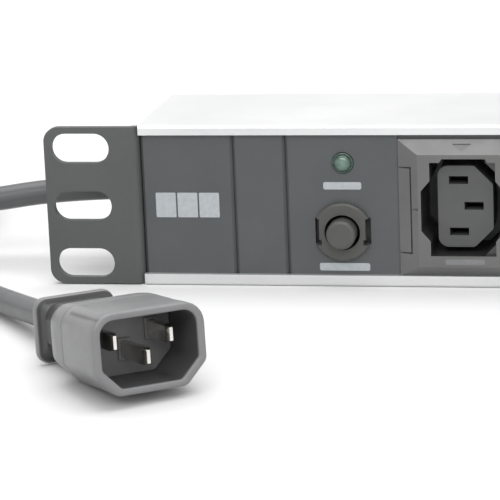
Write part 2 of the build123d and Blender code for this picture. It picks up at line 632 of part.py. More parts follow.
def make_line_wire():
    """Cord to breaker, and breaker to the line busbar."""
    tab_left = BREAKER_X - TAB_HALF_WIDTH
    tab_right = BREAKER_X + TAB_HALF_WIDTH
    start_z, down_x = CORD_Z + 1.7, BUSBAR_LEFT - 6.5
    inlet = [
        (CORD_START_X, CORD_Y, start_z), (CORD_START_X + 5, CORD_Y, start_z),
        (CORD_START_X + 20, 16.2, UPPER_TAB_Z), (tab_left, 16.2, UPPER_TAB_Z),
    ]
    outlet = [
        (tab_right, 16, LOWER_TAB_Z), (down_x, 16, LOWER_TAB_Z),
        (down_x, WIRE_END_Y, CONTACT_MID_Z + CONTACT_Z), (BUSBAR_LEFT, WIRE_END_Y, CONTACT_MID_Z + CONTACT_Z),
    ]
    return Compound([bar_through(inlet, WIRE_RADIUS), bar_through(outlet, WIRE_RADIUS)])


def make_neutral_wire():
    """Cord to the neutral busbar, behind the breaker."""
    start_y, start_z, down_x = CORD_Y - 1.6, CORD_Z - 1, BUSBAR_LEFT - 3.25
    return bar_through([
        (CORD_START_X, start_y, start_z), (CORD_START_X + 9, start_y, start_z),
        (CORD_START_X + 20, 15.2, 18.5), (down_x, 15.2, 17.5),
        (down_x, WIRE_END_Y, CONTACT_MID_Z - CONTACT_Z), (BUSBAR_LEFT, WIRE_END_Y, CONTACT_MID_Z - CONTACT_Z),
    ], WIRE_RADIUS)


def make_earth_wire():
    """Cord to the ring terminal, and on to the earth busbar."""
    start_y, start_z, down_x = CORD_Y + 1.6, CORD_Z - 1, BUSBAR_LEFT - 3.25
    barrel_left, barrel_right = BOND_X - BARREL_OUT, BOND_X + BARREL_OUT
    to_ring = [
        (CORD_START_X, start_y, start_z), (CORD_START_X + 5, start_y, start_z),
        (barrel_left - 6.5, BARREL_Y, BOND_Z), (barrel_left, BARREL_Y, BOND_Z),
    ]
    to_bar = [
        (barrel_right, BARREL_Y, BOND_Z), (barrel_right + 5.3, BARREL_Y, BOND_Z),
        (barrel_right + 10, 19, CONTACT_MID_Z), (down_x, 17.5, CONTACT_MID_Z + 0.3),
        (down_x, WIRE_END_Y, CONTACT_MID_Z), (BUSBAR_LEFT, WIRE_END_Y, CONTACT_MID_Z),
    ]
    return Compound([bar_through(to_ring, WIRE_RADIUS), bar_through(to_bar, WIRE_RADIUS)])


# ---------------------------------------------------------------- cord, gland, coil and tie
def make_cord_gland():
    """Strain relief bush: threaded neck, flange and a short ribbed taper."""
    flange_out = LEG_OUT - 1.8
    gland = rod_x(CORD_Y, CORD_Z, GLAND_NECK, LEG_OUT - 1, LEG_IN + 5)
    flange = rod_x(CORD_Y, CORD_Z, GLAND_FLANGE, flange_out, LEG_OUT)
    gland += chamfer(flange.edges().filter_by(GeomType.CIRCLE).sort_by(Axis.X)[0], 0.5)
    taper = flange_out - GLAND_TIP_X
    cone = Cone(GLAND_TIP, GLAND_NECK, taper)
    gland += Pos((GLAND_TIP_X + flange_out) / 2, CORD_Y, CORD_Z) * Rot(0, 90, 0) * cone
    for k in (1, 2, 3):
        x = GLAND_TIP_X + k * taper / 4
        groove = rod_x(CORD_Y, CORD_Z, GLAND_NECK + 1, x - 0.4, x + 0.4)
        gland -= groove - rod_x(CORD_Y, CORD_Z, GLAND_TIP - 0.3, x - 1, x + 1)
    return gland - rod_x(CORD_Y, CORD_Z, CORD_RADIUS + 0.1, GLAND_TIP_X - 1, LEG_IN + 9)


def make_gland_nut():
    """Hexagon locking nut inside the profile's end."""
    hexagon = RegularPolygon(radius=9.2, side_count=6)
    nut = extrude(Plane.YZ.offset(LEG_IN) * Pos(CORD_Y, CORD_Z) * hexagon, 4.0)
    return nut - rod_x(CORD_Y, CORD_Z, GLAND_NECK + 0.1, LEG_IN - 1, LEG_IN + 6)


def plug_location():
    """Where the plug's own frame lies: x across, y back from the open face, z up."""
    return Pos(*PLUG_PLACE) * Rot(0, 0, PLUG_YAW) * Rot(PLUG_PITCH, 0, 0) * Rot(0, PLUG_ROLL, 0)


def cord_ends():
    """(route from the strip to the coil, route from the plug to the coil)."""
    relief_end = (plug_location() * Pos(0, FLANGE_END + RELIEF_LENGTH + 0.05, 0)).position
    from_strip = [
        (CORD_START_X, CORD_Y, CORD_Z),
        (-239.3, 3.5, 22.0),
        (-271.3, 2.5, 16.9),
        (-300.0, -1.0, 17.1),
    ]
    from_plug = [
        (relief_end.X, relief_end.Y, relief_end.Z),
        (-245.1, -53.4, 3.9),
        (-265.0, -31.0, 3.6),
        (-278.0, -3.0, 3.9),
        (-282.5, 26.0, 3.9),
    ]
    return from_strip, from_plug


def make_cord():
    """The two loose stretches of the cord, strip to coil and coil to plug."""
    bars = []
    for route in cord_ends():
        radii = arc_radii(route)
        bar, length = tube_along(route, CORD_RADIUS, radii)
        section = math.pi * CORD_RADIUS**2
        print("cord stretch", round(length, 1), "mm, arcs", [round(r) for r in radii])
        print("  volume over section times length", round(bar.volume / (section * length), 4))
        bars.append(bar)
    return Compound(bars)


def make_cord_coil():
    """Outer shape of the put-away turns."""
    inner, outer = COIL_RADIUS - COIL_HALF_SECTION, COIL_RADIUS + COIL_HALF_SECTION
    turns = Cylinder(outer, COIL_HEIGHT) - Cylinder(inner, COIL_HEIGHT)
    ring = Pos(COIL_X, COIL_Y, COIL_HEIGHT / 2) * turns
    return fillet(ring.edges().filter_by(GeomType.CIRCLE), 3.0)


def make_cord_tie():
    """Strap round the coil's section, on the side away from the strip."""
    half = COIL_HALF_SECTION + TIE_THICK
    x = COIL_X - COIL_RADIUS
    y0, y1 = COIL_Y - TIE_WIDTH / 2, COIL_Y + TIE_WIDTH / 2
    outside = block(x - half, x + half, y0, y1, 0, COIL_HEIGHT + TIE_THICK)
    inside = block(x - COIL_HALF_SECTION, x + COIL_HALF_SECTION, y0 - 1, y1 + 1, TIE_THICK, COIL_HEIGHT)
    return fillet((outside).edges().filter_by(Axis.Y), 2.5) - fillet(inside.edges().filter_by(Axis.Y), 1.6)


# ---------------------------------------------------------------- plug
def plug_outline(x, z, corner, cut, lower_round):
    """Plug section: round upper corners and cut lower corners."""
    face = outline([(-x + cut, -z), (x - cut, -z), (x, -z + cut), (x, z), (-x, z), (-x, -z + cut)])
    upper = [v for v in face.vertices() if v.Y > z - 0.1]
    face = fillet(upper, corner)
    lower = [v for v in face.vertices() if v.Y < -z + cut + 0.1]
    return fillet(lower, lower_round)


def make_plug_body():
    """Moulded shroud, shoulder, neck and grip flange, in the plug's own frame."""
    shroud_face = plug_outline(PLUG_X, PLUG_Z, PLUG_CORNER, PLUG_CHAMFER, PLUG_LOWER_ROUND)
    body = along_y(shroud_face, 0, PLUG_SHROUD)
    sections = [
        (PLUG_SHROUD, PLUG_X - 0.5, PLUG_Z - 0.6, 5.5),
        (PLUG_SHOULDER - 3.4, PLUG_X - 1.4, PLUG_Z - 1.4, 5.5),
        (PLUG_SHOULDER, PLUG_NECK_X, PLUG_NECK_Z, 4.5),
    ]
    for front, back in zip(sections, sections[1:]):
        ends = []
        for y, x, z, corner in (front, back):
            ends.append((Plane.XZ.offset(-y) * RectangleRounded(2 * x, 2 * z, corner)).faces()[0])
        body += loft(ends)
    body += along_y(RectangleRounded(2 * PLUG_NECK_X, 2 * PLUG_NECK_Z, 4.5), PLUG_SHOULDER - 0.5, FLANGE_END)
    flange_height = FLANGE_TOP - FLANGE_BOTTOM
    flange = Pos(0, (FLANGE_TOP + FLANGE_BOTTOM) / 2) * RectangleRounded(2 * FLANGE_X, flange_height, 3.0)
    body += along_y(flange, FLANGE_START, FLANGE_END)
    cavity = plug_outline(CAVITY_X, CAVITY_Z, PLUG_CORNER - 1.5, PLUG_CHAMFER - 0.6, 1.6)
    body -= along_y(cavity, -1, PLUG_CAVITY + 4)
    for u, w in PIN_PLACES:
        body -= block(u - 1.0, u + 1.0, PLUG_CAVITY, PIN_END + 0.1, w - 2.0, w + 2.0)
    return body


PIN_PLACES = ((-7.2, 2.2), (7.2, 2.2), (0.0, -1.8))
PIN_TIPS = (3.7, 3.7, 1.4)
PIN_END = 24.0


def make_plug_insert():
    """Pin carrier at the bottom of the plug's cavity."""
    face = plug_outline(CAVITY_X, CAVITY_Z, PLUG_CORNER - 1.5, PLUG_CHAMFER - 0.6, 1.6)
    carrier = along_y(face, PLUG_CAVITY, PLUG_CAVITY + 4)
    for u, w in PIN_PLACES:
        carrier -= block(u - 1.0, u + 1.0, PLUG_CAVITY - 1, PLUG_CAVITY + 5, w - 2.0, w + 2.0)
    return carrier


def make_plug_pins():
    """Line, neutral and earth pins, flat on their sides with chamfered tips."""
    pins = []
    for (u, w), tip in zip(PIN_PLACES, PIN_TIPS):
        pin = block(u - 1.0, u + 1.0, tip, PIN_END, w - 2.0, w + 2.0)
        front = pin.faces().sort_by(Axis.Y)[0]
        pins.append(chamfer(front.edges(), 0.45))
    return Compound(pins)


def make_plug_strain_relief():
    """Short ringed bush between the flange and the cord."""
    relief = rod_y(0, 0, RELIEF_RADIUS, FLANGE_END, FLANGE_END + RELIEF_LENGTH)
    groove = rod_y(0, 0, RELIEF_RADIUS + 1, FLANGE_END + 1.6, FLANGE_END + 2.8)
    return relief - (groove - rod_y(0, 0, RELIEF_RADIUS - 0.8, FLANGE_END, FLANGE_END + 5))


# ---------------------------------------------------------------- the assembly
def assemble():
    """Every node's solid, by name."""
    left_screws = make_bracket_screws()
    nodes = {
        "profile": make_profile(),
        "bracket_left": make_bracket(True),
        "bracket_right": mirror(make_bracket(False), about=Plane.YZ),
        "bracket_screws_left": left_screws,
        "bracket_screws_right": mirror(left_screws, about=Plane.YZ),
        "end_panel_left": make_panel(PANEL_EDGES[0], PANEL_EDGES[1]),
        "spacer_panel": make_panel(PANEL_EDGES[1], PANEL_EDGES[2]),
        "control_panel": make_control_panel(),
        "end_panel_right": make_panel(OUTLETS_END, OVERALL - PANEL_EDGES[0]),
        "led_lens": make_led_lens(),
        "led_leads": make_led_leads(),
        "led_board": make_led_board(),
        "led_resistor": make_led_resistor(),
        "breaker_collar": make_breaker_collar(),
        "breaker_housing": make_breaker_housing(),
        "breaker_back_cover": make_breaker_back_cover(),
        "breaker_fixed_contact": make_breaker_fixed_contact(),
        "breaker_arm_terminal": make_breaker_arm_terminal(),
        "breaker_pivot_pin": rod_x(PIVOT_Y, PIVOT_Z, PIVOT_RADIUS, BREAKER_X - 4.2, BREAKER_X + 4.2),
        "contact_arm": make_contact_arm(),
        "reset_button": make_reset_button(),
        "button_spring": make_button_spring(),
        "line_busbar": make_busbar(CONTACT_MID_Z + CONTACT_Z, CONTACT_X),
        "neutral_busbar": make_busbar(CONTACT_MID_Z - CONTACT_Z, CONTACT_X),
        "earth_busbar": make_busbar(CONTACT_MID_Z, EARTH_X),
        "busbar_tray": make_busbar_tray(),
        "earth_ring_terminal": make_earth_ring_terminal(),
        "earth_bond_screw": make_earth_bond_screw(),
        "line_wire": make_line_wire(),
        "neutral_wire": make_neutral_wire(),
        "earth_wire": make_earth_wire(),
        "cord_gland": make_cord_gland(),
        "gland_nut": make_gland_nut(),
        "cord": make_cord(),
        "cord_coil": make_cord_coil(),
        "cord_tie": make_cord_tie(),
    }
    frame, core = make_outlet_frame(), make_outlet_core()
    for number, x in enumerate(OUTLET_X, 1):
        nodes[f"outlet_frame_{number:02d}"] = Pos(x, 0, 0) * frame
        nodes[f"outlet_core_{number:02d}"] = Pos(x, 0, 0) * core
    place = plug_location()
    nodes["plug_body"] = place * make_plug_body()
    nodes["plug_insert"] = place * make_plug_insert()
    nodes["plug_pins"] = place * make_plug_pins()
    nodes["plug_strain_relief"] = place * make_plug_strain_relief()
    return nodes


def main():
    os.makedirs("parts", exist_ok=True)
    for name, solid in assemble().items():
        export_step(solid, f"parts/{name}.step")


main()
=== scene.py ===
"""Rack power strip: materials, detailed pieces, cord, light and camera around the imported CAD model."""
import json
import math

import bmesh
import bpy
from mathutils import Matrix, Vector

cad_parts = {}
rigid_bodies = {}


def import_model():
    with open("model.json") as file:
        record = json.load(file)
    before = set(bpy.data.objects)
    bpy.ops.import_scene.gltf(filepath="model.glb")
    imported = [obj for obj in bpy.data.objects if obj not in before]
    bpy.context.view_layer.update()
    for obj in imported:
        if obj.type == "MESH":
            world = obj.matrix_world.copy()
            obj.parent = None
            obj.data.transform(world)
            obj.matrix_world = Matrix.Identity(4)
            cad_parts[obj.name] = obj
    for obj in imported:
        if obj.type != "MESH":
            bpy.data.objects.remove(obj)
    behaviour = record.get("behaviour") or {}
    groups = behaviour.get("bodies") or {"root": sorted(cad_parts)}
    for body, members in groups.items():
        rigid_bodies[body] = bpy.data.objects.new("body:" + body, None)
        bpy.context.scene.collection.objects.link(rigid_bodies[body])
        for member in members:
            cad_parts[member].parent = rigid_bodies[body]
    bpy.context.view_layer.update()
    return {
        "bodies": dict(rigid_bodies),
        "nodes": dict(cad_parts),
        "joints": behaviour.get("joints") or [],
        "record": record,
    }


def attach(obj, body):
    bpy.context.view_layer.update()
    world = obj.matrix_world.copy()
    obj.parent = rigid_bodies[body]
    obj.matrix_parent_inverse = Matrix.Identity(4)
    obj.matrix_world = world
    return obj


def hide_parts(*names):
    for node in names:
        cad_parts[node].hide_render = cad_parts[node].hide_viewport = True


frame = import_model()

MM = 0.001

# ---------------------------------------------------------------- dimensions that part.py sets, mm
LEFT = -241.3
PANEL_FACE = -19.0
OUTLET_PITCH = 34.0
OUTLET_X = [LEFT + 95.95 + OUTLET_PITCH * (i + 0.5) for i in range(10)]
LED_X, LED_Z = LEFT + 81.2, 33.6
CORD_RADIUS = 3.4
CORD_Y, CORD_Z = 3.5, 22.0
LEG_OUT = LEFT + 24.2
LEG_IN = LEFT + 26.2
GLAND_TIP_X = LEG_OUT - 11.2
COIL_X, COIL_Y = -329.3, 37.5
COIL_LAYERS = (3.5, 10.3, 17.1)
COIL_RADII = (33.2, 40.0, 46.8)
PLUG_PLACE = (-189.82, -123.85, 12.80)
PLUG_TURN = (38.1, -5.67, 1.2)
PLUG_X, PLUG_Z = 14.15, 9.65
PIN_PLACES = ((-7.2, 2.2), (7.2, 2.2), (0.0, -1.8))
PIN_TIPS = (3.7, 3.7, 1.4)
BEVEL_OUTER = Vector((0.0, -19.4, 40.05))
PLATEAU_FACE = -21.2
BEVEL_INNER = Vector((0.0, PLATEAU_FACE, 36.2))
plug_frame = (
    Matrix.Translation(PLUG_PLACE)
    @ Matrix.Rotation(math.radians(PLUG_TURN[0]), 4, "Z")
    @ Matrix.Rotation(math.radians(PLUG_TURN[1]), 4, "X")
    @ Matrix.Rotation(math.radians(PLUG_TURN[2]), 4, "Y")
)


# ---------------------------------------------------------------- node materials
class Surface:
    """A Principled material with helpers that add nodes to it."""

    def __init__(self, name, **sockets):
        self.material = bpy.data.materials.new(name)
        self.material.use_nodes = True
        self.tree = self.material.node_tree
        self.shader = self.tree.nodes["Principled BSDF"]
        for key, value in sockets.items():
            self.shader.inputs[key.replace("_", " ")].default_value = value
        self.place = self.node("ShaderNodeTexCoord").outputs["Object"]

    def node(self, kind, settings=None, **inputs):
        made = self.tree.nodes.new(kind)
        for key, value in (settings or {}).items():
            setattr(made, key, value)
        for key, value in inputs.items():
            socket = made.inputs[key.replace("_", " ")]
            if isinstance(value, bpy.types.NodeSocket):
                self.tree.links.new(value, socket)
            else:
                socket.default_value = value
        return made

    def stretched(self, scale):
        return self.node("ShaderNodeMapping", Vector=self.place, Scale=scale).outputs["Vector"]

    def noise(self, size_mm, detail=3.0, roughness=0.55, vector=None):
        made = self.node(
            "ShaderNodeTexNoise", Vector=vector or self.place,
            Scale=1.0 / (size_mm * MM), Detail=detail, Roughness=roughness,
        )
        return made.outputs["Fac"]

    def ramp(self, value, stops):
        made = self.node("ShaderNodeValToRGB", Fac=value)
        ramp = made.color_ramp
        while len(ramp.elements) < len(stops):
            ramp.elements.new(0.5)
        for element, (position, colour) in zip(ramp.elements, stops):
            element.position = position
            element.color = (*colour, 1.0)
        return made.outputs["Color"]

    def spread(self, value, low, high, start=0.3, end=0.7):
        made = self.node(
            "ShaderNodeMapRange", {"clamp": True}, Value=value,
            From_Min=start, From_Max=end, To_Min=low, To_Max=high,
        )
        return made.outputs["Result"]

    def mixed(self, share, first, second, blend="MIX"):
        made = self.tree.nodes.new("ShaderNodeMix")
        made.data_type = "RGBA"
        made.blend_type = blend
        for socket, value in ((made.inputs[0], share), (made.inputs[6], first), (made.inputs[7], second)):
            if isinstance(value, bpy.types.NodeSocket):
                self.tree.links.new(value, socket)
            else:
                socket.default_value = value
        return made.outputs[2]

    def math(self, operation, first, second=0.0, third=0.0, clamp=False):
        made = self.tree.nodes.new("ShaderNodeMath")
        made.operation = operation
        made.use_clamp = clamp
        for socket, value in zip(made.inputs, (first, second, third)):
            if isinstance(value, bpy.types.NodeSocket):
                self.tree.links.new(value, socket)
            else:
                socket.default_value = value
        return made.outputs[0]

    def axes(self, frame=None):
        """The place's x, y and z in mm, in the object's frame or in another."""
        place = self.place
        if frame:
            turn = self.node("ShaderNodeMapping", {"vector_type": "TEXTURE"}, Vector=place)
            turn.inputs["Location"].default_value = frame.translation * MM
            turn.inputs["Rotation"].default_value = frame.to_euler("XYZ")
            place = turn.outputs["Vector"]
        split = self.node("ShaderNodeSeparateXYZ", Vector=place)
        return [self.math("MULTIPLY", split.outputs[k], 1.0 / MM) for k in range(3)]

    def largest(self, *values):
        made = values[0]
        for value in values[1:]:
            made = self.math("MAXIMUM", made, value)
        return made

    def link(self, value, name):
        self.tree.links.new(value, self.shader.inputs[name])

    def bump(self, height, strength, depth_mm, under=None):
        inputs = {"Height": height, "Strength": strength, "Distance": depth_mm * MM}
        if under:
            inputs["Normal"] = under
        made = self.node("ShaderNodeBump", **inputs)
        self.link(made.outputs["Normal"], "Normal")
        return made.outputs["Normal"]


def moulded(
    name, dark, light, rough, grain_mm=0.35, bump=0.25, depth_mm=0.03, cloud_mm=9.0, shade=None, **sockets
):
    """Moulded plastic or rubber: faint colour clouds, a fine spark-eroded grain and uneven gloss, with
    painted shade where a shade mask is given.
    """
    made = Surface(name, **sockets)
    clouds = made.noise(cloud_mm, 4.0)
    grain = made.noise(grain_mm, 2.0, 0.7)
    base = made.ramp(clouds, [(0.3, dark), (0.7, light)])
    speck = made.spread(grain, 0.0, 1.0)
    colour = made.mixed(speck, base, made.mixed(0.5, base, (*light, 1.0)))
    if shade:
        # painted shade: the colour goes toward near black where the shade mask is strong
        colour = made.mixed(shade(made), colour, (*grey(0.012), 1.0))
    made.link(colour, "Base Color")
    made.link(made.spread(made.noise(cloud_mm * 0.4, 3.0), *rough), "Roughness")
    made.bump(grain, bump, depth_mm)
    return made.material


def outlet_shade(made):
    """Painted shade: strong inside an outlet's recess and over its frame, faint in the arrow mark, 0 on the
    faces.
    """
    recess_middle, recess_half_width, recess_half_height, recess_mouth = 21.4, 11.3, 14.0, -21.08
    frame_top, frame_back = 40.15, -19.2
    arrow_half_width, arrow_start, arrow_end = 2.6, 0.25, 0.6
    x, y, z = made.axes()
    half_pitch = OUTLET_PITCH / 2
    along = made.math("SUBTRACT", x, OUTLET_X[0] - half_pitch)
    place = made.math("MODULO", along, OUTLET_PITCH)
    across = made.math("ABSOLUTE", made.math("SUBTRACT", place, half_pitch))
    upright = made.math("ABSOLUTE", made.math("SUBTRACT", z, recess_middle))
    # painted shade inside the outlet's recess
    in_recess = made.largest(
        made.math("SUBTRACT", across, recess_half_width),
        made.math("SUBTRACT", upright, recess_half_height),
        made.math("SUBTRACT", recess_mouth, y),
    )
    # painted shade in the gap over the frame's top edge
    over_frame = made.largest(made.math("SUBTRACT", frame_top, z), made.math("SUBTRACT", frame_back, y))
    outside = made.math("MINIMUM", in_recess, over_frame)
    slope = BEVEL_OUTER - BEVEL_INNER
    inward = Vector((0.0, slope.z, -slope.y)).normalized()
    down = made.math("ADD", made.math("MULTIPLY", y, inward.y), made.math("MULTIPLY", z, inward.z))
    depth = made.math("SUBTRACT", down, inward.dot(BEVEL_INNER))
    # faint painted shade in the arrow mark's pocket
    in_arrow = made.largest(
        made.math("SUBTRACT", across, arrow_half_width),
        made.math("SUBTRACT", arrow_start, depth),
        made.math("SUBTRACT", depth, arrow_end),
        made.math("SUBTRACT", BEVEL_INNER.z, z),
    )
    return made.math(
        "MAXIMUM", made.spread(outside, 0.85, 0.0, -0.12, 0.0), made.spread(in_arrow, 0.24, 0.0, -0.1, 0.0)
    )


def plug_shade(made):
    """Painted shade: strong inside the plug's cavity and between its shoulder and its flange, 0 elsewhere."""
    half_width, half_height, corner_reach = 13.0, 8.9, 16.9
    mouth, cavity_floor = 0.35, 16.5
    shoulder_end, flange_start = 31.5, 42.9
    x, y, z = made.axes(plug_frame)
    across = made.math("ABSOLUTE", x)
    # painted shade inside the cavity
    wall = made.largest(
        made.math("SUBTRACT", across, half_width),
        made.math("SUBTRACT", made.math("ABSOLUTE", z), half_height),
        made.math("SUBTRACT", made.math("SUBTRACT", across, z), corner_reach),
        made.math("SUBTRACT", mouth, y),
        made.math("SUBTRACT", y, cavity_floor),
    )
    past_flange = made.math("MULTIPLY", made.math("SUBTRACT", y, flange_start), 9.0)
    # painted shade between the shoulder and the flange
    behind = made.largest(made.math("SUBTRACT", shoulder_end, y), past_flange)
    cavity = made.spread(wall, 0.72, 0.0, -0.5, 0.0)
    return made.math("MAXIMUM", cavity, made.spread(behind, 0.80, 0.0, -1.0, 0.0))


def plain_metal(
    name, dark, light, rough, stretch=(1.0, 1.0, 1.0), grain_mm=0.25, bump=0.15, cloud_mm=14.0, **sockets
):
    """Metal with drawn or ground lines along the axis that stretch makes long."""
    made = Surface(name, Metallic=1.0, **sockets)
    lines = made.noise(grain_mm, 2.0, 0.6, made.stretched(stretch))
    clouds = made.noise(cloud_mm, 4.0)
    made.link(made.ramp(clouds, [(0.3, dark), (0.7, light)]), "Base Color")
    gloss = made.mixed(0.5, clouds, lines)
    made.link(made.spread(gloss, *rough), "Roughness")
    made.bump(lines, bump, 0.01)
    return made.material


def grey(value, warm=0.0):
    """Linear grey with a little warmth (+) or blue (-)."""
    return (value * (1 + warm), value, value * (1 - warm))


def powder_coat():
    """Satin powder coating: orange-peel skin over a fine grain."""
    made = Surface("black_steel", Specular_IOR_Level=0.5)
    peel = made.noise(1.4, 2.0, 0.4)
    grain = made.noise(0.22, 2.0, 0.7)
    clouds = made.noise(22.0, 3.0)
    base = made.ramp(clouds, [(0.3, (0.058, 0.062, 0.061)), (0.7, (0.069, 0.073, 0.072))])
    speck = made.spread(grain, 0.0, 0.35, 0.45, 0.75)
    made.link(made.mixed(speck, base, (0.085, 0.088, 0.087, 1.0)), "Base Color")
    made.link(made.spread(peel, 0.46, 0.58), "Roughness")
    made.bump(grain, 0.20, 0.02, made.bump(peel, 0.25, 0.05))
    return made.material


def anodised():
    """Matt anodised extrusion with faint die lines along X."""
    made = Surface("aluminium", Metallic=0.85)
    lines = made.noise(0.35, 3.0, 0.65, made.stretched((0.004, 1.0, 1.0)))
    blast = made.noise(0.12, 2.0, 0.6)
    clouds = made.noise(30.0, 3.0)
    base = made.ramp(clouds, [(0.3, (0.660, 0.664, 0.670)), (0.7, (0.705, 0.707, 0.712))])
    made.link(made.mixed(made.spread(lines, 0.0, 0.30), base, (0.77, 0.77, 0.775, 1.0)), "Base Color")
    made.link(made.spread(made.mixed(0.6, clouds, lines), 0.38, 0.52), "Roughness")
    made.bump(blast, 0.10, 0.01, made.bump(lines, 0.14, 0.012))
    return made.material


def lamp_green():
    """Diffused green lamp with painted light through the lens: paler towards the dome's middle, darker at its
    rim.
    """
    made = Surface(
        "green_lens", Roughness=0.22, Coat_Weight=0.6, Coat_Roughness=0.08, Subsurface_Weight=0.2,
    )
    # painted light: the pale middle sits a little off the dome's axis
    shift = 0.1
    made.shader.inputs["Subsurface Radius"].default_value = (0.3, 1.0, 0.5)
    made.shader.inputs["Subsurface Scale"].default_value = 0.001
    centred = made.node("ShaderNodeVectorMath", {"operation": "SUBTRACT"})
    made.tree.links.new(made.place, centred.inputs[0])
    centred.inputs[1].default_value = ((LED_X + shift) * MM, 0.0, (LED_Z + shift) * MM)
    flat = made.node("ShaderNodeVectorMath", {"operation": "MULTIPLY"})
    made.tree.links.new(centred.outputs[0], flat.inputs[0])
    flat.inputs[1].default_value = (1.0 / MM, 0.0, 1.0 / MM)
    reach = made.node("ShaderNodeVectorMath", {"operation": "LENGTH"})
    made.tree.links.new(flat.outputs[0], reach.inputs[0])
    share = made.spread(reach.outputs["Value"], 0.0, 1.0, 0.5, 2.8)
    # painted light through the lens: pale green in the middle, near-black green at the rim
    stops = [(0.0, (0.105, 0.165, 0.132)), (0.40, (0.055, 0.110, 0.080)), (0.68, (0.010, 0.036, 0.023))]
    tone = made.ramp(share, stops)
    speck = made.spread(made.noise(0.5, 3.0), 0.0, 0.25)
    made.link(made.mixed(speck, tone, (0.12, 0.19, 0.15, 1.0)), "Base Color")
    return made.material


def circuit_board():
    """Green solder mask with a faint copper pattern under it."""
    made = Surface("board", Coat_Weight=0.4, Coat_Roughness=0.15)
    edges = {"feature": "DISTANCE_TO_EDGE"}
    tracks = made.node("ShaderNodeTexVoronoi", edges, Vector=made.place, Scale=600.0)
    share = made.spread(tracks.outputs["Distance"], 0.0, 1.0, 0.03, 0.10)
    made.link(made.mixed(share, (0.02, 0.13, 0.05, 1.0), (0.03, 0.20, 0.08, 1.0)), "Base Color")
    made.link(made.spread(made.noise(2.0), 0.25, 0.4), "Roughness")
    made.bump(share, 0.3, 0.03)
    return made.material


def striped_wire(name, first, second, pitch_mm):
    """Wire insulation: one colour, or two in a spiral-like stripe."""
    made = Surface(name, Specular_IOR_Level=0.45)
    clouds = made.noise(3.0, 3.0)
    wave = made.node(
        "ShaderNodeTexWave", {"bands_direction": "DIAGONAL"}, Vector=made.place,
        Scale=0.35 / (pitch_mm * MM), Distortion=0.3,
    )
    share = made.spread(wave.outputs["Fac"], 0.0, 1.0, 0.48, 0.52)
    tint = made.mixed(share, (*first, 1.0), (*second, 1.0))
    made.link(made.mixed(made.spread(clouds, 0.0, 0.25), tint, (*grey(0.3), 1.0)), "Base Color")
    made.link(made.spread(clouds, 0.35, 0.5), "Roughness")
    made.bump(made.noise(0.4), 0.15, 0.02)
    return made.material


def hook_tape():
    """Nylon hook-and-loop strap: a woven ground with a soft pile."""
    made = Surface("tie", Sheen_Weight=0.35, Sheen_Roughness=0.5, Specular_IOR_Level=0.3)
    loops = made.node("ShaderNodeTexVoronoi", Vector=made.place, Scale=1900.0, Randomness=0.6)
    height = made.spread(loops.outputs["Distance"], 1.0, 0.0, 0.0, 0.7)
    fuzz = made.noise(0.3, 4.0, 0.7)
    tone = made.mixed(height, (*grey(0.008), 1.0), (*grey(0.035), 1.0))
    made.link(made.mixed(made.spread(fuzz, 0.0, 0.4), tone, (*grey(0.06), 1.0)), "Base Color")
    made.link(made.spread(fuzz, 0.75, 0.95), "Roughness")
    made.bump(height, 0.8, 0.12)
    return made.material


